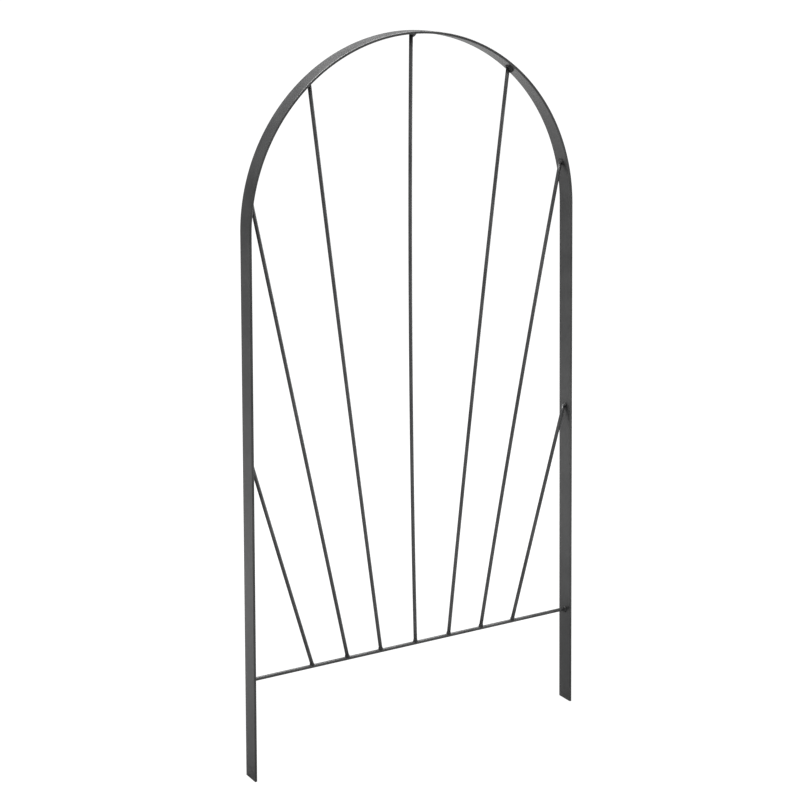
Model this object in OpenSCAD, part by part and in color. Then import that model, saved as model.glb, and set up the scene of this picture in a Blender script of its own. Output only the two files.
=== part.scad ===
// Garden trellis arch. One flat steel bar is bent into a tall hoop, a round cross bar joins its legs,
// and seven round spokes fan out from the cross bar to the inside of the hoop. Every meeting is welded.
// +X runs across the arch, +Y to its back and +Z up. The origin is on the ground, midway between the feet.

/* [Hoop] */
// Height from the feet to the top of the hoop
hoop_height = 1442; // [1150:1:1800]
// Outside width of the round top
hoop_width = 724; // [600:1:900]
// Width of the flat bar, front to back
bar_width = 40; // [25:1:60]
// Thickness of the flat bar
bar_thickness = 5; // [3:0.5:8]
// Radius along the four long edges of the flat bar
bar_edge_radius = 1.2; // [0.2:0.1:1.4]
// Outward lean of each leg, in degrees
leg_splay = 1; // [0.5:0.25:3]

/* [Cross bar] */
// Diameter of the round cross bar
cross_bar_diameter = 7.5; // [5:0.5:12]
// Height of its centre above the feet, which is the length of leg that goes into the soil
cross_bar_height = 208; // [150:1:300]

/* [Spokes] */
// Diameter of the round spokes
spoke_diameter = 7.5; // [5:0.5:12]
// Spacing of the spokes' feet along the cross bar
foot_spacing = 80; // [60:1:100]
// Spacing of the five inner spokes' tops round the inside of the hoop
top_spacing = 236; // [180:1:290]
// Distance from the crown to the two outer spokes' tops, round the inside of the hoop
outer_top_distance = 976; // [800:1:1180]
// Distance that all the tops are shifted round the hoop, to the left of even
fan_shift = 6; // [0:1:20]

/* [Welds] */
// Radius of the weld puddle where a rod meets the flat bar
puddle_radius = 9; // [8:0.5:12]
// Height of the weld puddle above the flat bar
puddle_height = 5.5; // [4:0.5:8]
// Length of the fillet up each spoke from the cross bar
fillet_length = 5; // [4:0.5:10]
// Spread of the fillet beside each spoke, where it meets the cross bar
fillet_spread = 2; // [1.5:0.5:4]

/* [Hidden] */
// Hand fitting leaves each spoke a little off its even place. Each row gives its name, its foot's offset
// along the cross bar and its top's offset round the hoop, both to the right.
SPOKES = [
    ["left_leg_spoke", 1, 0],
    ["left_lower_spoke", 1, -7],
    ["left_upper_spoke", -2, 1],
    ["centre_spoke", 0, 2],
    ["right_upper_spoke", 0, 2],
    ["right_lower_spoke", -1, 0],
    ["right_leg_spoke", -2, -1],
];
LAST = len(SPOKES) - 1;
LEFT = -1;
RIGHT = 1;

STEEL = "dimgray";
WELD = "gray";

// The hoop's inside face: an arc round arch_centre, then a straight leg from the spring line down
arch_centre = hoop_height - hoop_width / 2;
inner_radius = hoop_width / 2 - bar_thickness;
spring_angle = 90 - leg_splay;
spring_distance = inner_radius * spring_angle * PI / 180;

// Depth to which a rod's end is coped round the cross bar
cope_depth = 1.2;
// Extra length of a rod before its ends are cut to fit
end_allowance = 30;
// Thickness of weld left round a rod where the weld ends
weld_toe = 0.3;
// Depth of a weld's cone below the flat bar's face, before it is cut to the face
puddle_root = 2;
// Turn of a weld's cone about its own axis, which keeps its seam clear of the rod's seam
seam_turn = 90;
// Front-to-back cover of a fillet over the wider of its two rods
fillet_cover = 0.8;
// Room on every side of a cutting block
clear = 50;
// Distance that the arch's cutting block runs below the spring line, to meet the legs' blocks
spring_lap = 0.5;

hoop_facets = 256;
round_facets = 96;
edge_facets = 24;

// Angle from the crown, clockwise seen from the front, of a point at a distance round the inside face
function face_angle(distance) =
    sign(distance) * min(abs(distance) / inner_radius * 180 / PI, spring_angle);

// Place [x, z] of that point
function face_point(distance) =
    let (
        angle = face_angle(distance),
        down_leg = max(0, abs(distance) - spring_distance)
    )
    [
        inner_radius * sin(angle) + sign(distance) * down_leg * sin(leg_splay),
        arch_centre + inner_radius * cos(angle) - down_leg * cos(leg_splay)
    ];

// Distance round the inside face of a point on a leg at a given height
function leg_distance(height) =
    spring_distance + (arch_centre + inner_radius * cos(spring_angle) - height) / cos(leg_splay);

function even_top(index) =
    index == 0 ? -outer_top_distance
    : index == LAST ? outer_top_distance
    : (index - LAST / 2) * top_spacing;

function top_distance(index) = even_top(index) - fan_shift + SPOKES[index][2];

function foot_point(index) = [
    (index - LAST / 2) * foot_spacing + SPOKES[index][1],
    cross_bar_height + cross_bar_diameter / 2
];

// Lean of a spoke to the right of upright, from its foot to its top
function spoke_tilt(index) =
    let (rise = face_point(top_distance(index)) - foot_point(index))
    atan2(rise[0], rise[1]);

// Section of the flat bar, with its inside face on the Y axis
module bar_section() {
    middle = bar_width / 2 - bar_edge_radius;
    union() {
        translate([bar_edge_radius, -bar_width / 2])
            square([bar_thickness - 2 * bar_edge_radius, bar_width]);
        translate([0, -middle])
            square([bar_thickness, 2 * middle]);
        for (x = [bar_edge_radius, bar_thickness - bar_edge_radius], y = [-middle, middle])
            translate([x, y]) circle(bar_edge_radius, $fn = edge_facets);
    }
}

// Right half of a hoop that carries a section, a little past the crown and past the ground
module half_hoop() {
    translate([0, 0, arch_centre])
        rotate([0, -leg_splay, 0])
            union() {
                rotate([90, 0, 0])
                    rotate_extrude(angle = 90, $fn = hoop_facets)
                        translate([inner_radius, 0]) children();
                translate([inner_radius, 0, -arch_centre - clear])
                    linear_extrude(arch_centre + clear) children();
            }
}

module below(height) {
    translate([-hoop_width, -bar_width, height - hoop_height])
        cube([2 * hoop_width, 2 * bar_width, hoop_height]);
}

// Everything that lies outside the hoop's inside face, for cutting rods and welds to it
module beyond_face() {
    depth = bar_width + 2 * clear;
    reach = inner_radius + clear;
    spring_height = arch_centre + inner_radius * sin(leg_splay);
    difference() {
        translate([-reach, -depth / 2, spring_height - spring_lap])
            cube([2 * reach, depth, reach]);
        translate([0, 0, arch_centre])
            rotate([90, 0, 0])
                cylinder(h = 2 * depth, r = inner_radius, center = true, $fn = hoop_facets);
    }
    beyond_right_leg(depth);
    mirror([1, 0, 0]) beyond_right_leg(depth);
}

module beyond_right_leg(depth) {
    translate([0, 0, arch_centre])
        rotate([0, -leg_splay, 0])
            translate([inner_radius, -depth / 2, -arch_centre])
                cube([clear, depth, arch_centre]);
}

module cross_rod() {
    translate([0, 0, cross_bar_height])
        rotate([0, 90, 0])
            cylinder(h = hoop_width + clear, d = cross_bar_diameter, center = true, $fn = round_facets);
}

// A spoke before its ends are cut to fit
module uncut_spoke(index) {
    foot = foot_point(index);
    length = norm(face_point(top_distance(index)) - foot);
    translate([foot[0], 0, foot[1]])
        rotate([0, spoke_tilt(index), 0])
            translate([0, 0, -end_allowance])
                cylinder(h = length + 2 * end_allowance, d = spoke_diameter, $fn = round_facets);
}

// Cone of weld metal on the inside face, rooted a little below it
module puddle(distance) {
    rod_radius = max(spoke_diameter, cross_bar_diameter) / 2;
    slope = (puddle_radius - rod_radius - weld_toe) / puddle_height;
    point = face_point(distance);
    translate([point[0], 0, point[1]])
        rotate([0, face_angle(distance), 0])
            translate([0, 0, -puddle_height])
                rotate([0, 0, seam_turn])
                    cylinder(
                        h = puddle_height + puddle_root,
                        r1 = rod_radius + weld_toe,
                        r2 = puddle_radius + puddle_root * slope,
                        $fn = round_facets
                    );
}

module hoop() {
    color(STEEL)
        difference() {
            union() {
                half_hoop() bar_section();
                mirror([1, 0, 0]) half_hoop() bar_section();
            }
            below(0);
        }
}

module cross_bar() {
    color(STEEL)
        difference() {
            cross_rod();
            beyond_face();
        }
}

module spoke(index) {
    color(STEEL)
        difference() {
            uncut_spoke(index);
            beyond_face();
            cross_rod();
            below(foot_point(index)[1] - cope_depth);
        }
}

module foot_weld(index) {
    foot = foot_point(index);
    rod_radius = max(spoke_diameter, cross_bar_diameter) / 2;
    base_depth = cross_bar_diameter;
    slope = fillet_spread / fillet_length;
    color(WELD)
        difference() {
            translate([foot[0], 0, foot[1]])
                rotate([0, spoke_tilt(index), 0])
                    intersection() {
                        translate([0, 0, -base_depth])
                            cylinder(
                                h = fillet_length + base_depth,
                                r1 = spoke_diameter / 2 + fillet_spread + base_depth * slope,
                                r2 = spoke_diameter / 2 + weld_toe,
                                $fn = round_facets
                            );
                        cube([clear, 2 * (rod_radius + fillet_cover), clear], center = true);
                    }
            uncut_spoke(index);
            cross_rod();
            below(cross_bar_height);
        }
}

module top_weld(index) {
    color(WELD)
        difference() {
            puddle(top_distance(index));
            uncut_spoke(index);
            beyond_face();
        }
}

module cross_bar_weld(side) {
    color(WELD)
        difference() {
            puddle(side * leg_distance(cross_bar_height));
            cross_rod();
            beyond_face();
        }
}

hoop();
cross_bar();
for (index = [0 : LAST]) {
    spoke(index);
    foot_weld(index);
    top_weld(index);
}
cross_bar_weld(LEFT);  // cross_bar_left_weld
cross_bar_weld(RIGHT);  // cross_bar_right_weld
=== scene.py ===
"""Looks of a metal trellis arch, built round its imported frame. Metres, +X across, +Y to the back, +Z up."""

import math

import bpy
import numpy as np
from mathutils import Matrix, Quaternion, Vector, noise


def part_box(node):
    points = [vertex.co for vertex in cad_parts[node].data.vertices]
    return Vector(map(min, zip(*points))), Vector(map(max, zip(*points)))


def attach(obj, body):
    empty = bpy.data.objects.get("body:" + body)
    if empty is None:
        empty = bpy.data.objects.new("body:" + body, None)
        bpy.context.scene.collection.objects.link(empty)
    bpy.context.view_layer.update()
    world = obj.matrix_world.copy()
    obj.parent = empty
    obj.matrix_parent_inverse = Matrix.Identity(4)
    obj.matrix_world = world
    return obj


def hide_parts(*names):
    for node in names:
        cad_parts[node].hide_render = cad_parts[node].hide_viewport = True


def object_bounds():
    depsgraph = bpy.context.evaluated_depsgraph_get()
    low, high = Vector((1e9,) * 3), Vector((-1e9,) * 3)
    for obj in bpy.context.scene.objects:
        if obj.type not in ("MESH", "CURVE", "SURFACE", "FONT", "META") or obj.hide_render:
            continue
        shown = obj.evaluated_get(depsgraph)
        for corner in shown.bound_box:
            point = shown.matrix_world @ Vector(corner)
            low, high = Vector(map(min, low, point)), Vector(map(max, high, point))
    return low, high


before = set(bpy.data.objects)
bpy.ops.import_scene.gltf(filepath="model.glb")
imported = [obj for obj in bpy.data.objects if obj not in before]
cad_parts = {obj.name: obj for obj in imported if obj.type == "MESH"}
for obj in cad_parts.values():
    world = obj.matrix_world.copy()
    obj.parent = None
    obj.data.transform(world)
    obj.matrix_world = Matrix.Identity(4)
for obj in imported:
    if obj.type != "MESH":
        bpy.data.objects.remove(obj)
cad_low, cad_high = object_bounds()

# ---- Sizes of the steel, worked out from the frame where it shows them ----

BAR_THICKNESS = 0.005
BAR_EDGE_RADIUS = 0.0012
LEG_SPLAY = math.radians(1)
ROD_RADIUS = 0.00375
# Depth to which a spoke's foot is coped round the cross bar
COPE_DEPTH = 0.0012

_, hoop_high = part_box("hoop")
HOOP_HEIGHT = hoop_high.z
HALF_BAR_WIDTH = hoop_high.y
# The round top's outside face, from the width outside the leaning legs' feet
OUTER_RADIUS = (
    (hoop_high.x - HOOP_HEIGHT * math.tan(LEG_SPLAY))
    / (1 / math.cos(LEG_SPLAY) - math.tan(LEG_SPLAY))
)
INNER_RADIUS = OUTER_RADIUS - BAR_THICKNESS
ARCH_CENTRE = Vector((0, 0, HOOP_HEIGHT - OUTER_RADIUS))
# Angle from the crown at which the round top runs on into a leg
SPRING_ANGLE = math.pi / 2 - LEG_SPLAY
SPRING_HEIGHT = ARCH_CENTRE.z + INNER_RADIUS * math.cos(SPRING_ANGLE)

cross_bar_low, cross_bar_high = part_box("cross_bar")
CROSS_BAR_Z = cross_bar_low.z + ROD_RADIUS

RIGHT = Vector((1, 0, 0))
FRONT_TO_BACK = Vector((0, 1, 0))
UP = Vector((0, 0, 1))

# Each spoke's bow to the left at mid-length, from being welded in under a little pressure
SPOKE_BOWS = {
    "left_leg_spoke": 0.0003,
    "left_lower_spoke": 0.0,
    "left_upper_spoke": 0.0017,
    "centre_spoke": 0.0058,
    "right_upper_spoke": 0.0030,
    "right_lower_spoke": 0.0041,
    "right_leg_spoke": 0.0003,
}

# Thickness of each top bead, its thickness on the heavy side, and where that side is round the rod
TOP_WELDS = {
    "left_leg_spoke": (0.0026, 0.0040, 0.0),
    "left_lower_spoke": (0.0026, 0.0045, 0.0),
    "left_upper_spoke": (0.0026, 0.0060, 0.0),
    "centre_spoke": (0.0014, 0.0082, 0.0),
    "right_upper_spoke": (0.0026, 0.0075, -0.4),
    "right_lower_spoke": (0.0030, 0.0055, math.pi),
    "right_leg_spoke": (0.0026, 0.0045, math.pi),
}
# The same for the beads at the cross bar's ends
CROSS_BAR_WELD = (0.0030, 0.0045, 0.0)


# ---- Camera ----

def set_camera():
    """Stands the camera left of the front, a little above the arch, and turns it to the arch's middle."""
    azimuth = math.radians(30.361)
    drop = math.radians(14.703)
    roll = math.radians(-0.357)
    distance = 3.7757
    middle = (cad_low + cad_high) / 2
    aim = middle + Vector((-0.0330, 0, 0.0054))
    forward = Vector((
        math.sin(azimuth) * math.cos(drop),
        math.cos(azimuth) * math.cos(drop),
        -math.sin(drop),
    ))
    data = bpy.data.cameras.new("camera")
    data.sensor_width = 36
    data.lens = 86.18
    camera = bpy.data.objects.new("camera", data)
    camera.rotation_mode = "QUATERNION"
    camera.rotation_quaternion = forward.to_track_quat("-Z", "Y") @ Quaternion((0, 0, 1), roll)
    camera.location = aim - distance * forward
    bpy.context.scene.collection.objects.link(camera)
    bpy.context.scene.camera = camera


# ---- Shader maths ----

class Signal:
    """A shader socket that takes part in Python sums. Sums on values add Math nodes."""

    def __init__(self, tree, socket):
        self.tree = tree
        self.socket = socket

    def maths(self, operation, *inputs):
        return self.tree.node("ShaderNodeMath", {"operation": operation}, dict(enumerate(inputs)))

    def __add__(self, other):
        return self.maths("ADD", self, other)

    def __radd__(self, other):
        return self.maths("ADD", other, self)

    def __sub__(self, other):
        return self.maths("SUBTRACT", self, other)

    def __rsub__(self, other):
        return self.maths("SUBTRACT", other, self)

    def __mul__(self, other):
        return self.maths("MULTIPLY", self, other)

    def __rmul__(self, other):
        return self.maths("MULTIPLY", other, self)

    def ramp(self, low, high):
        """0 below low, 1 above high and smooth between. With low above high it falls instead."""
        settings = {"interpolation_type": "SMOOTHSTEP"}
        inputs = {"Value": self, "From Min": min(low, high), "From Max": max(low, high)}
        if low > high:
            inputs.update({"To Min": 1, "To Max": 0})
        return self.tree.node("ShaderNodeMapRange", settings, inputs, "Result")


class Tree:
    """The node tree of a material or of the world."""

    def __init__(self, owner):
        owner.use_nodes = True
        self.nodes = owner.node_tree.nodes
        self.links = owner.node_tree.links
        self.nodes.clear()

    def node(self, kind, settings=None, inputs=None, output=0):
        """Adds a node: its settings first, then the values or links of its inputs. Gives one output."""
        node = self.nodes.new(kind)
        for name, value in (settings or {}).items():
            setattr(node, name, value)
        for name, value in (inputs or {}).items():
            if isinstance(value, Signal):
                self.links.new(value.socket, node.inputs[name])
            else:
                node.inputs[name].default_value = value
        return Signal(self, node.outputs[output]) if len(node.outputs) else None

    def place(self):
        """Position on the arch itself, in metres."""
        return self.node("ShaderNodeTexCoord", output="Object")

    def height(self, vector):
        """The Z of a position or a direction."""
        return self.node("ShaderNodeSeparateXYZ", inputs={0: vector}, output="Z")

    def length(self, vector):
        return self.node("ShaderNodeVectorMath", {"operation": "LENGTH"}, {0: vector}, "Value")

    def scaled(self, vector, factors):
        """A vector with its X, Y and Z each multiplied by a factor of its own."""
        return self.node("ShaderNodeVectorMath", {"operation": "MULTIPLY"}, {0: vector, 1: factors})

    def grain(self, vector, size, detail=2.0, roughness=0.5):
        """Noise from 0 to 1 whose lumps are about size metres across."""
        inputs = {"Vector": vector, "Scale": 1 / size, "Detail": detail, "Roughness": roughness}
        return self.node("ShaderNodeTexNoise", inputs=inputs)

    def specks(self, vector, size):
        """Distance to the nearest of points scattered about size metres apart, in units of size."""
        inputs = {"Vector": vector, "Scale": 1 / size}
        return self.node("ShaderNodeTexVoronoi", {"feature": "F1"}, inputs, "Distance")

    def blend(self, factor, first, second):
        """Mix of two colours."""
        inputs = {0: factor, 6: first, 7: second}
        return self.node("ShaderNodeMix", {"data_type": "RGBA"}, inputs, 2)

    def bump(self, height, depth, under=None):
        """Normal of a surface with the given relief, whose height of 1 stands depth metres proud."""
        inputs = {"Height": height, "Strength": 1.0, "Distance": depth}
        if under is not None:
            inputs["Normal"] = under
        return self.node("ShaderNodeBump", inputs=inputs)

    def attribute(self, name):
        return self.node("ShaderNodeAttribute", {"attribute_name": name}, output="Fac")

    def camera_ray(self):
        """1 for what the camera sees itself, 0 for what is lit by it or reflects it."""
        return self.node("ShaderNodeLightPath", output="Is Camera Ray")


def grey(value, warmth=0.0):
    """Colour of a grey of that brightness, a little warm or cold."""
    return (value * (1 + warmth), value, value * (1 - warmth), 1.0)


# ---- Finishes ----

# Brightness of the coat where it is thick, even, a little thin, and rubbed at an edge with a painted
# highlight along it
COAT_DARK = 0.023
COAT_GREY = 0.029
COAT_LIGHT = 0.037
COAT_RUBBED_AND_SHEEN = 0.062
# Warmth of the coat's greys, which lean a little to blue
COAT_COLD = -0.02
COAT_IOR = 1.52
DUST = (0.22, 0.20, 0.17, 1.0)

# Sizes of what varies over the coat. The streaks run up and down the arch.
CLOUD_SIZE = 0.07
STREAK_WIDTH = 0.012
STREAK_SQUEEZE = (1, 1, 0.12)
SAND_SIZE = 0.00028
SAND_DEPTH = 0.000003
MICA_SPACING = 0.0011
WEAR_SIZE = 0.006
FOOT_DUST_AND_SHADE_SIZE = 0.010
# Heights between which the dust near the ground, painted in place of the shade at the feet, grows from none
# to full
FOOT_DUST_AND_SHADE_TOP = 0.060
FOOT_DUST_AND_SHADE_FULL = 0.004

# Sizes of what varies over a weld under its coat
WELD_PIT_SPACING = 0.0016
WELD_LUMP_SIZE = 0.0018
WELD_LUMP_DEPTH = 0.00012
WELD_SAND_SIZE = 0.00035
WELD_SAND_DEPTH = 0.00002


def add_coat_surface(tree, colour, roughness, relief, specular):
    """Ends a coat's tree with its shader. The coat reflects as its IOR says at a specular of 0.5."""
    shader = tree.node("ShaderNodeBsdfPrincipled", inputs={
        "Base Color": colour,
        "Roughness": roughness,
        "Normal": relief,
        "IOR": COAT_IOR,
        "Specular IOR Level": specular,
    })
    tree.node("ShaderNodeOutputMaterial", inputs={"Surface": shader})


def powder_coat(name, peel_size, peel_depth, rough, tone, edge_wear_and_sheen):
    """Satin anthracite powder coat: orange peel, fine grain, faint clouding, thin coat on the edges with a
    painted highlight along them.

    tone multiplies the coat's brightness, and the edge option is for a mesh with an attribute of how thin the
    coat is at its edges, which lightens them partly as rubbed coat and partly as a painted highlight.
    """
    material = bpy.data.materials.new(name)
    tree = Tree(material)
    place = tree.place()
    clouds = tree.grain(place, CLOUD_SIZE, detail=3.0)
    streaks = tree.grain(tree.scaled(place, STREAK_SQUEEZE), STREAK_WIDTH, detail=3.0)
    peel = tree.grain(place, peel_size, detail=1.0)
    sand = tree.grain(place, SAND_SIZE, detail=2.0, roughness=0.65)
    mica = tree.specks(place, MICA_SPACING).ramp(0.16, 0.05)
    # painted shade at the feet: patches near the ground made dust-coloured and rougher
    dust_and_foot_shade_patches = tree.grain(place, FOOT_DUST_AND_SHADE_SIZE, detail=4.0).ramp(0.42, 0.68)
    dust_and_foot_shade = tree.height(place).ramp(FOOT_DUST_AND_SHADE_TOP, FOOT_DUST_AND_SHADE_FULL) * dust_and_foot_shade_patches

    dark_coat = grey(COAT_DARK * tone, COAT_COLD)
    light_coat = grey(COAT_LIGHT * tone, COAT_COLD / 2)
    colour = tree.blend(clouds.ramp(0.35, 0.65), dark_coat, light_coat)
    colour = tree.blend(streaks.ramp(0.45, 0.75) * 0.35, colour, grey(COAT_GREY * tone * 1.25))
    colour = tree.blend(sand.ramp(0.5, 0.8) * 0.30, colour, grey(COAT_LIGHT * tone * 1.25))
    colour = tree.blend(mica * 0.15, colour, grey(COAT_RUBBED_AND_SHEEN * 1.3, 0.01))
    roughness = clouds * 0.05 + streaks * 0.05 + sand * 0.06 + (rough - 0.08) + dust_and_foot_shade * 0.20
    if edge_wear_and_sheen:
        rubbed_edge_and_sheen = tree.attribute("thin_coat_and_sheen") * tree.grain(place, WEAR_SIZE, detail=3.0).ramp(0.30, 0.62)
        # lighter along every edge: partly rubbed coat, partly a painted highlight
        colour = tree.blend(rubbed_edge_and_sheen * 0.6, colour, grey(COAT_RUBBED_AND_SHEEN, 0.02))
        roughness = roughness - rubbed_edge_and_sheen * 0.10
    colour = tree.blend(dust_and_foot_shade * 0.05, colour, DUST)
    relief = tree.bump(sand, SAND_DEPTH, tree.bump(peel, peel_depth))
    add_coat_surface(tree, colour, roughness, relief, specular=0.5)
    return material


def coated_weld():
    """The same coat over a weld bead, painted darker than on the bar as shade round the joint: dark between
    the ripples and in the pits, and as light as the bar's coat on the crests, where it thins.
    """
    material = bpy.data.materials.new("coat_over_weld_with_painted_shade")
    tree = Tree(material)
    place = tree.place()
    crest = tree.attribute("ripple_crest")
    pits = tree.specks(place, WELD_PIT_SPACING).ramp(0.30, 0.08)
    lumps = tree.grain(place, WELD_LUMP_SIZE, detail=3.0)
    sand = tree.grain(place, WELD_SAND_SIZE, detail=2.0, roughness=0.65)
    # painted shade: the troughs and pits are darker than any of the bar's coat
    colour = tree.blend(crest, grey(COAT_DARK * 0.72, COAT_COLD), grey(COAT_LIGHT * 1.02))
    colour = tree.blend(lumps.ramp(0.40, 0.70) * 0.35, colour, grey(COAT_GREY * 0.8))
    colour = tree.blend(pits * 0.6, colour, grey(COAT_DARK * 0.45))
    roughness = 0.56 - crest * 0.10 + sand * 0.08 + pits * 0.12
    relief = tree.bump(sand, WELD_SAND_DEPTH, tree.bump(lumps - pits * 0.5, WELD_LUMP_DEPTH))
    add_coat_surface(tree, colour, roughness, relief, specular=0.36)
    return material


# ---- Mesh making ----

def closed_grid(name, rings, finish, attribute=None, ring_closed=True):
    """Mesh of rings of points, each joined to the next. attribute is its name and a value for each point.

    With ring_closed the last ring joins the first, otherwise the two end rings are capped.
    """
    count = len(rings)
    around = len(rings[0])
    points = [tuple(point) for ring in rings for point in ring]
    faces = []
    for i in range(count if ring_closed else count - 1):
        here = i * around
        there = (i + 1) % count * around
        for j in range(around):
            k = (j + 1) % around
            faces.append((here + j, here + k, there + k, there + j))
    smooth = [True] * len(faces)
    if not ring_closed:
        faces.append(tuple(reversed(range(around))))
        faces.append(tuple(range((count - 1) * around, count * around)))
        smooth += [False, False]
    mesh = bpy.data.meshes.new(name)
    mesh.from_pydata(points, [], faces)
    mesh.polygons.foreach_set("use_smooth", smooth)
    if attribute:
        layer = mesh.attributes.new(attribute[0], "FLOAT", "POINT")
        layer.data.foreach_set("value", np.array(attribute[1], np.float32).ravel())
    mesh.validate()
    mesh.materials.append(finish)
    piece = bpy.data.objects.new(name, mesh)
    bpy.context.scene.collection.objects.link(piece)
    return piece


def turn_outward(piece):
    """Turns a closed mesh's faces outward."""
    volume = 0.0
    mesh = piece.data
    for face in mesh.polygons:
        corners = [mesh.vertices[i].co for i in face.vertices]
        for a, b in zip(corners[1:-1], corners[2:]):
            volume += corners[0].dot(a.cross(b))
    if volume < 0:
        mesh.flip_normals()


def finish_piece(piece, *nodes, slot):
    """Puts a piece in place of its CAD nodes."""
    turn_outward(piece)
    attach(piece, "root")
    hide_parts(*nodes)


# ---- The hoop ----

LEG_STEPS = 90
ARCH_STEPS = 300
CORNER_STEPS = 6
FACE_POINTS = 9
# Gap between a rounded edge and the next point on the flat, which keeps the flat's shading flat
EDGE_SUPPORT = 0.0004
# Rounding of the rim of a cut foot
FOOT_ROUND = 0.0005


def bar_outline():
    """Outline of the flat bar's section: out from the middle of its thickness, back, thinness of coat, which
    also sets the painted highlight on the edges.
    """
    half = BAR_THICKNESS / 2
    arc_x = half - BAR_EDGE_RADIUS
    arc_y = HALF_BAR_WIDTH - BAR_EDGE_RADIUS
    outline = []
    for x_side, y_side, start in ((1, 1, 0), (-1, 1, 90), (-1, -1, 180), (1, -1, 270)):
        for step in range(CORNER_STEPS + 1):
            angle = math.radians(start + 90 * step / CORNER_STEPS)
            outline.append((
                x_side * arc_x + BAR_EDGE_RADIUS * math.cos(angle),
                y_side * arc_y + BAR_EDGE_RADIUS * math.sin(angle),
                math.sin(math.pi * step / CORNER_STEPS),
            ))
        if x_side != y_side:
            reach = arc_y - EDGE_SUPPORT
            for y in np.linspace(y_side * reach, -y_side * reach, FACE_POINTS):
                outline.append((x_side * half, float(y), 0.0))
        else:
            reach = arc_x - EDGE_SUPPORT
            for x in (x_side * reach, 0.0, -x_side * reach):
                outline.append((x, y_side * HALF_BAR_WIDTH, 0.0))
    return outline


def hoop_path():
    """Stations along the hoop's middle line from the left foot to the right: point, outward direction."""
    middle_radius = INNER_RADIUS + BAR_THICKNESS / 2
    arch = []
    for step in range(ARCH_STEPS + 1):
        angle = SPRING_ANGLE * (2 * step / ARCH_STEPS - 1)
        out = Vector((math.sin(angle), 0, math.cos(angle)))
        arch.append((ARCH_CENTRE + middle_radius * out, out))
    legs = []
    for (start, out), side in ((arch[0], -1), (arch[-1], 1)):
        down = Vector((side * math.sin(LEG_SPLAY), 0, -math.cos(LEG_SPLAY)))
        length = start.z / math.cos(LEG_SPLAY)
        legs.append([(start + down * (length * step / LEG_STEPS), out) for step in range(1, LEG_STEPS + 1)])
    left_leg, right_leg = legs
    return left_leg[::-1] + arch + right_leg


def foot_rings(ring, point, out):
    """The last two rings of a foot, from the ground up, where a leg is cut level with the ground."""
    along = Vector((-out.z, 0, out.x))
    cut = [corner - along * (corner.z / along.z) for corner in ring]
    above = [corner + along * (FOOT_ROUND / along.z) for corner in cut]
    ground = []
    for corner in cut:
        x = point.x + (corner.x - point.x) * (1 - FOOT_ROUND / (BAR_THICKNESS / 2))
        y = corner.y * (1 - FOOT_ROUND / HALF_BAR_WIDTH)
        ground.append(Vector((x, y, 0)))
    return [ground, above]


def make_hoop(finish):
    outline = bar_outline()
    path = hoop_path()
    rings = []
    for point, out in path:
        rings.append([point + out * x + FRONT_TO_BACK * y for x, y, _ in outline])
    left_foot = foot_rings(rings[0], *path[0])
    right_foot = foot_rings(rings[-1], *path[-1])
    bare_foot = [[1.0] * len(outline)] * 2
    coats = bare_foot + [[rubbed_edge_and_sheen for _, _, rubbed_edge_and_sheen in outline]] * (len(path) - 2) + bare_foot
    rings = left_foot + rings[1:-1] + right_foot[::-1]
    piece = closed_grid("hoop_bar", rings, finish, ("thin_coat_and_sheen", coats), ring_closed=False)
    finish_piece(piece, "hoop", slot="coated_steel")


# ---- Where a rod meets what it is welded to ----

# Length of a slanting rod's end that is cut to the hoop's face. Past it the end is cut square, and the weld
# fills the gap.
BLUNT_ROOM = 0.004


def leg_outward(side):
    """Outward direction of a leg's faces, for side -1 at the left and 1 at the right."""
    return Vector((side * math.cos(LEG_SPLAY), 0, math.sin(LEG_SPLAY)))


def from_arch_centre(point):
    """Offset of a point from the round top's centre, in the arch's plane."""
    offset = point - ARCH_CENTRE
    offset.y = 0
    return offset


def reach_face(point, direction):
    """Distance from a point inside the hoop, along a direction, to the hoop's inside face."""
    start = from_arch_centre(point)
    flat = Vector((direction.x, 0, direction.z))
    out = leg_outward(1 if direction.x > 0 else -1)
    distance = (INNER_RADIUS - start.dot(out)) / flat.dot(out)
    if point.z + distance * direction.z < SPRING_HEIGHT:
        return distance
    half = start.dot(flat)
    square = flat.dot(flat)
    return (math.sqrt(half ** 2 - square * (start.dot(start) - INNER_RADIUS ** 2)) - half) / square


def end_reaches(points, direction):
    """Distance from each point of a rod's last ring to its end, which is only partly cut to the face."""
    reaches = [reach_face(point, direction) for point in points]
    longest = min(reaches) + BLUNT_ROOM
    return [min(reach, longest) for reach in reaches]


def face_outward(point):
    """Outward direction of the hoop's inside face at a point on it."""
    if point.z < SPRING_HEIGHT:
        return leg_outward(1 if point.x > 0 else -1)
    return from_arch_centre(point).normalized()


def onto_face(point):
    """The nearest point of the hoop's inside face."""
    out = face_outward(point)
    return point + out * (INNER_RADIUS - from_arch_centre(point).dot(out))


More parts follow.
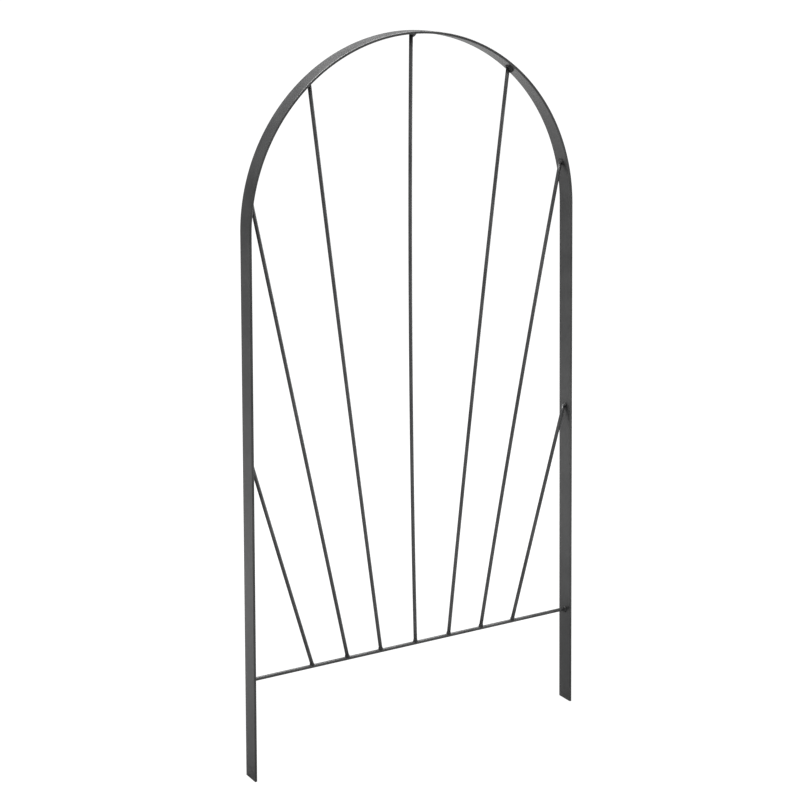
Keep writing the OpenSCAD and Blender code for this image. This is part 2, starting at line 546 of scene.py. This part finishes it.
def rod_axis(node):
    """Two points on the axis of a straight CAD rod, near its lower and upper end."""
    points = np.array([v.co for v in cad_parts[node].data.vertices], float)
    middle = (points.min(0) + points.max(0)) / 2
    axis = np.linalg.svd(points - points.mean(0), full_matrices=False)[2][0]
    if axis[2] < 0:
        axis = -axis
    fits = 3
    for _ in range(fits):
        # the axis runs through the centres of circles fitted to the points at each end, seen along the rod
        side = np.cross(axis, FRONT_TO_BACK)
        side /= np.linalg.norm(side)
        along = (points - middle) @ axis
        ends = []
        for chosen in (along < 0, along > 0):
            u = (points[chosen] - middle) @ side
            v = points[chosen][:, 1]
            rows = np.stack([2 * u, 2 * v, np.ones(len(u))], 1)
            centre = np.linalg.lstsq(rows, u * u + v * v, rcond=None)[0][0]
            ends.append(middle + axis * along[chosen].mean() + side * centre)
        axis = (ends[1] - ends[0]) / np.linalg.norm(ends[1] - ends[0])
    low, high = Vector(ends[0]), Vector(ends[1])
    low.y = high.y = 0
    return low, high


# ---- Rods ----

ROD_POINTS = 32
SPOKE_STEPS = 120
CROSS_BAR_STEPS = 80
# Length at each end of a spoke, and of the cross bar, that is left for the end to be cut to fit
SPOKE_END_ROOM = 0.026
CROSS_BAR_END_ROOM = 0.002


def angles_round(count):
    """Even steps round a rod."""
    return [2 * math.pi * step / count for step in range(count)]


def circle_point(angle, side):
    """Offset from a rod's axis to its surface, at an angle from side towards the back."""
    return ROD_RADIUS * (math.cos(angle) * side + math.sin(angle) * FRONT_TO_BACK)


def across_rod(direction):
    """The direction square to a rod in the arch's plane, which is to the right of a rod that runs up."""
    return FRONT_TO_BACK.cross(direction).normalized()


def ring_round(centre, side):
    """Ring of points round a rod's axis."""
    return [centre + circle_point(angle, side) for angle in angles_round(ROD_POINTS)]


def make_spoke(node, finish):
    """A round spoke, coped on the cross bar, cut to the hoop's face and bowed a little to the left.

    Gives the two ends of its axis and its direction at each.
    """
    low, high = rod_axis(node)
    direction = (high - low).normalized()
    foot = low + direction * ((CROSS_BAR_Z + ROD_RADIUS - low.z) / direction.z)
    top = high + direction * reach_face(high, direction)
    length = (top - foot).length
    left = -across_rod(direction)
    bow = SPOKE_BOWS[node]

    def slope(share):
        return (direction + left * (4 * bow * (1 - 2 * share) / length)).normalized()

    end_share = SPOKE_END_ROOM / length
    rings = []
    for share in np.linspace(end_share, 1 - end_share, SPOKE_STEPS):
        centre = foot.lerp(top, share) + left * (4 * bow * share * (1 - share))
        rings.append(ring_round(centre, across_rod(slope(share))))
    foot_slope, top_slope = slope(0), slope(1)
    lowest = CROSS_BAR_Z + ROD_RADIUS - COPE_DEPTH
    coped = []
    for point in rings[0]:
        seat = CROSS_BAR_Z + math.sqrt(max(ROD_RADIUS ** 2 - point.y ** 2, 0))
        coped.append(point + foot_slope * ((max(seat, lowest) - point.z) / foot_slope.z))
    reaches = end_reaches(rings[-1], top_slope)
    cut = [point + top_slope * reach for point, reach in zip(rings[-1], reaches)]
    piece = closed_grid(node + "_rod", [coped] + rings + [cut], finish, ring_closed=False)
    finish_piece(piece, node, slot="coated_steel")
    return foot, top, foot_slope, top_slope


def make_cross_bar(finish):
    half = cross_bar_high.x - CROSS_BAR_END_ROOM
    rings = []
    for step in range(CROSS_BAR_STEPS + 1):
        centre = Vector((half * (2 * step / CROSS_BAR_STEPS - 1), 0, CROSS_BAR_Z))
        rings.append(ring_round(centre, UP))
    rings[0] = [point - RIGHT * reach_face(point, -RIGHT) for point in rings[0]]
    rings[-1] = [point + RIGHT * reach_face(point, RIGHT) for point in rings[-1]]
    piece = closed_grid("cross_bar_rod", rings, finish, ring_closed=False)
    finish_piece(piece, "cross_bar", slot="coated_steel")


# ---- Welds ----

WELD_SECTIONS = 96
PROFILE_STEPS = 14
# Depth to which a bead is rooted in the two pieces that it joins
ROOT = 0.0006
RIPPLE_PITCH = 0.0013
RIPPLE_HEIGHT = 0.00013
RIPPLE_CURVE = 0.0012
LUMP_HEIGHT = 0.00024
LUMPS_PER_METRE = 330.0
# Carries a bead's place on the arch far through the lumps' noise, so that no two beads are alike
LUMP_SHIFT = 137.0
# Angle to either side over which the heavy side of a bead on the hoop dies away
HEAVY_SPREAD = 1.9
# Distance back from a rod's end to where its surface lies inside the hoop all round
REACH_BACK = 0.03
# Share of such a bead's thickness by which its rooted points lie in from its edges
ROOT_SHARE = 0.35
# How far such a bead stands proud, as a share of its thickness: at least, and the gain in an open corner
FLAT_SWELL = 0.05
CORNER_SWELL = 0.20
FOOT_WELD_HEIGHT = 0.0045
FOOT_WELD_SPREAD = 0.0017
# Share of the cross bar's half depth that a foot bead covers
FOOT_WELD_WRAP = 0.97
# Distance by which a foot bead's rooted points lie in from its edges, along the cross bar and up the spoke
FOOT_ROOT_IN = 0.001
FOOT_ROOT_DOWN = 0.3 * FOOT_WELD_HEIGHT
# How far a foot bead stands proud at its front and back, and how far it is hollow along the cross bar
FOOT_SWELL = 0.0008
FOOT_HOLLOW = 0.0002


def bead_profile(up_rod, out_face, away_from_painted_shade, proud):
    """Points across a fillet from the rod to the face, standing proud of the straight line between them."""
    control = (up_rod + out_face) / 2 + away_from_painted_shade * (2 * proud)
    points = []
    for step in range(PROFILE_STEPS + 1):
        t = step / PROFILE_STEPS
        points.append((1 - t) ** 2 * up_rod + 2 * t * (1 - t) * control + t * t * out_face)
    return points


def make_bead(name, sections, finish):
    """A weld bead that runs right round a rod.

    Each section has its points on the rod and on the face, the two rooted points below them, the direction
    in which the bead swells, and how far it stands proud.
    """
    rings = []
    crests = []
    travelled = 0.0
    last = None
    seed = sections[0][0] * LUMP_SHIFT
    for up_rod, out_face, root_face, root_rod, away_from_painted_shade, proud in sections:
        here = (up_rod + out_face) / 2
        travelled += (here - last).length if last is not None else 0.0
        last = here
        ring = []
        crest = []
        for step, point in enumerate(bead_profile(up_rod, out_face, away_from_painted_shade, proud)):
            swell = math.sin(math.pi * step / PROFILE_STEPS)
            arc = travelled - RIPPLE_CURVE * swell
            wave = 0.5 + 0.5 * math.cos(2 * math.pi * arc / RIPPLE_PITCH)
            lump = noise.noise(point * LUMPS_PER_METRE + seed)
            fade = swell ** 0.6
            ring.append(point + away_from_painted_shade * fade * (RIPPLE_HEIGHT * wave + LUMP_HEIGHT * lump))
            crest.append(wave * fade)
        rings.append(ring + [root_face, root_rod])
        crests.append(crest + [0.0, 0.0])
    return closed_grid(name, rings, finish, ("ripple_crest", crests))


def around_peak(angle, peak, width):
    """1 at an angle round the rod, falling smoothly to 0 at width on either side."""
    gap = abs((angle - peak + math.pi) % (2 * math.pi) - math.pi)
    return math.cos(min(gap / width, 1.0) * math.pi / 2) ** 2


def uneven(angle, *waves):
    """Factor near 1 that varies round a rod. Each wave has its size, its count in a turn and its start."""
    factor = 1.0
    for size, count, start in waves:
        factor += size * math.sin(count * angle + start)
    return factor


def make_face_weld(node, name, end, direction, finish, thick, heavy, heavy_side):
    """Bead between a rod's end and the hoop's inside face, heavier on one side.

    heavy_side is the angle round the rod towards the back: from the right of a spoke, from the top of the
    cross bar's left end, or from the underside of its right end.
    """
    out = face_outward(end)
    side = across_rod(direction)
    sections = []
    angles = angles_round(WELD_SECTIONS)
    starts = [end + circle_point(angle, side) - direction * REACH_BACK for angle in angles]
    for angle, start, reach in zip(angles, starts, end_reaches(starts, direction)):
        offset = circle_point(angle, side)
        corner = start + direction * reach
        share = around_peak(angle, heavy_side, HEAVY_SPREAD)
        wobble = uneven(angle, (0.14, 3, 40 * end.x), (0.09, 5, 90 * end.z))
        leg = (thick + (heavy - thick) * share) * wobble
        outward = (offset - out * offset.dot(out)).normalized()
        up_rod = corner - direction * leg
        out_face = onto_face(corner + outward * leg)
        root_face = out_face - outward * (ROOT_SHARE * leg) + out * ROOT
        root_rod = up_rod + direction * (ROOT_SHARE * leg) - offset.normalized() * ROOT
        away_from_painted_shade = (outward - direction).normalized()
        open_angle = 0.5 - 0.5 * outward.dot(-direction)
        proud = leg * (FLAT_SWELL + CORNER_SWELL * (1 - open_angle))
        sections.append((up_rod, out_face, root_face, root_rod, away_from_painted_shade, proud))
    piece = make_bead(name, sections, finish)
    finish_piece(piece, node, slot="coated_weld")


def make_foot_weld(node, name, foot, direction, finish):
    """Bead between a spoke's foot and the cross bar: a low cone that wraps the bar's front and back."""
    side = across_rod(direction)
    sections = []
    for angle in angles_round(WELD_SECTIONS):
        offset = circle_point(angle, side)
        radial = offset.normalized()
        endwise = math.cos(angle) ** 2
        wobble = uneven(angle, (0.13, 2, 60 * foot.x), (0.08, 5, 25 * foot.x))
        up_rod = foot + offset + direction * (FOOT_WELD_HEIGHT * wobble)
        x = foot.x + offset.x + FOOT_WELD_SPREAD * wobble * math.cos(angle)
        y = ROD_RADIUS * FOOT_WELD_WRAP * math.sin(angle)
        out_face = Vector((x, y, CROSS_BAR_Z + math.sqrt(ROD_RADIUS ** 2 - y * y)))
        inward = Vector((0, y, out_face.z - CROSS_BAR_Z)).normalized()
        root_face = out_face - inward * ROOT - Vector((radial.x * FOOT_ROOT_IN, 0, 0))
        root_rod = up_rod - radial * ROOT - direction * FOOT_ROOT_DOWN
        away_from_painted_shade = (radial + UP * endwise * 0.7).normalized()
        proud = FOOT_SWELL * (1 - endwise) - FOOT_HOLLOW * endwise
        sections.append((up_rod, out_face, root_face, root_rod, away_from_painted_shade, proud))
    piece = make_bead(name, sections, finish)
    finish_piece(piece, node, slot="coated_weld")


# ---- The studio ----

# Brightness of the surroundings that the coat reflects, low down and high up
SKY_LOW = 0.30
SKY_HIGH = 0.50
# Brightness of the floor that the coat reflects, painted darker under the arch as shade and pale away from
# it, and the radii between
FLOOR_SHADED_NEAR = 0.18
FLOOR_FAR = 0.55
FLOOR_NEAR_RADIUS = 0.2
FLOOR_FAR_RADIUS = 1.5
FLOOR_GLOW = 0.12
# Share of the white that the camera sees in place of the lit floor, and its strength
FLOOR_WHITE_SHARE = 0.85
FLOOR_WHITE = 1.2
FLOOR_HALF = 30.0


def set_studio():
    scene = bpy.context.scene
    scene.view_settings.view_transform = "Standard"
    world = bpy.data.worlds.new("studio")
    scene.world = world
    tree = Tree(world)
    look = tree.node("ShaderNodeTexCoord", output="Generated")
    sky = tree.blend(tree.height(look).ramp(-0.1, 0.9), grey(SKY_LOW), grey(SKY_HIGH))
    colour = tree.blend(tree.camera_ray(), sky, grey(1.0))
    background = tree.node("ShaderNodeBackground", inputs={"Color": colour, "Strength": 1.0})
    tree.node("ShaderNodeOutputWorld", inputs={"Surface": background})
    add_softbox("overhead", Vector((0.7, 0.1, 2.0)), -UP, size=(3.4, 1.4), watts=125)
    add_softbox("back", Vector((0, 2.8, 4.5)), -UP, size=(6.0, 2.4), watts=130)
    add_softbox("right", Vector((2.5, 0.1, 0.1)), -RIGHT, size=(2.4, 1.5), watts=34)
    key_place = Vector((-0.5, -1.2, 2.3))
    add_softbox("key", key_place, -key_place, size=(0.6, 0.6), watts=34)


def add_softbox(name, place, facing, size, watts):
    """Adds a lamp that the camera doesn't see. Its place is measured from the arch's middle."""
    data = bpy.data.lights.new(name, "AREA")
    data.shape = "RECTANGLE"
    data.size, data.size_y = size
    data.energy = watts
    lamp = bpy.data.objects.new(name, data)
    lamp.location = (cad_low + cad_high) / 2 + place
    lamp.rotation_mode = "QUATERNION"
    lamp.rotation_quaternion = facing.to_track_quat("-Z", "Y")
    lamp.visible_camera = False
    bpy.context.scene.collection.objects.link(lamp)


def lay_floor():
    half = FLOOR_HALF
    corners = [(-half, -half, 0), (half, -half, 0), (half, half, 0), (-half, half, 0)]
    mesh = bpy.data.meshes.new("floor")
    mesh.from_pydata(corners, [], [(0, 1, 2, 3)])
    material = bpy.data.materials.new("pale_floor")
    tree = Tree(material)
    away_from_painted_shade = tree.length(tree.place()).ramp(FLOOR_NEAR_RADIUS, FLOOR_FAR_RADIUS)
    lit = tree.node("ShaderNodeBsdfPrincipled", inputs={
        "Base Color": tree.blend(away_from_painted_shade, grey(FLOOR_SHADED_NEAR), grey(FLOOR_FAR)),
        "Roughness": 0.9,
        "Specular IOR Level": 0.1,
        "Emission Color": grey(1.0),
        "Emission Strength": FLOOR_GLOW,
    })
    # the camera sees the floor washed out to white, and the arch's coat reflects it as it is lit, with the
    # shade painted under the arch
    white = tree.node("ShaderNodeEmission", inputs={"Color": grey(1.0), "Strength": FLOOR_WHITE})
    factor = tree.camera_ray() * FLOOR_WHITE_SHARE
    shader = tree.node("ShaderNodeMixShader", inputs={0: factor, 1: lit, 2: white})
    tree.node("ShaderNodeOutputMaterial", inputs={"Surface": shader})
    mesh.materials.append(material)
    floor = bpy.data.objects.new("floor", mesh)
    bpy.context.scene.collection.objects.link(floor)


# ---- The whole arch ----

set_camera()
set_studio()
lay_floor()

bar_coat = powder_coat("coat_on_flat_bar", 0.0016, 0.000012, rough=0.34, tone=1.0, edge_wear_and_sheen=True)
# The rods' coat is the bar's coat painted half as light again: painted light, for the light the thin rods
# catch.
rod_coat_painted_lighter = powder_coat("coat_on_round_rod_painted_lighter", 0.0012, 0.000010, rough=0.36, tone=1.5, edge_wear_and_sheen=False)
weld_coat_with_painted_shade = coated_weld()

make_hoop(bar_coat)
make_cross_bar(rod_coat_painted_lighter)

for node, shape in TOP_WELDS.items():
    foot, top, foot_slope, top_slope = make_spoke(node, rod_coat_painted_lighter)
    make_foot_weld(node + "_foot_weld", node + "_foot_bead", foot, foot_slope, weld_coat_with_painted_shade)
    make_face_weld(node + "_top_weld", node + "_top_bead", top, top_slope, weld_coat_with_painted_shade, *shape)

for word, out in (("left", -RIGHT), ("right", RIGHT)):
    middle = Vector((0, 0, CROSS_BAR_Z))
    end = middle + out * reach_face(middle, out)
    name = "cross_bar_" + word
    make_face_weld(name + "_weld", name + "_bead", end, out, weld_coat_with_painted_shade, *CROSS_BAR_WELD)
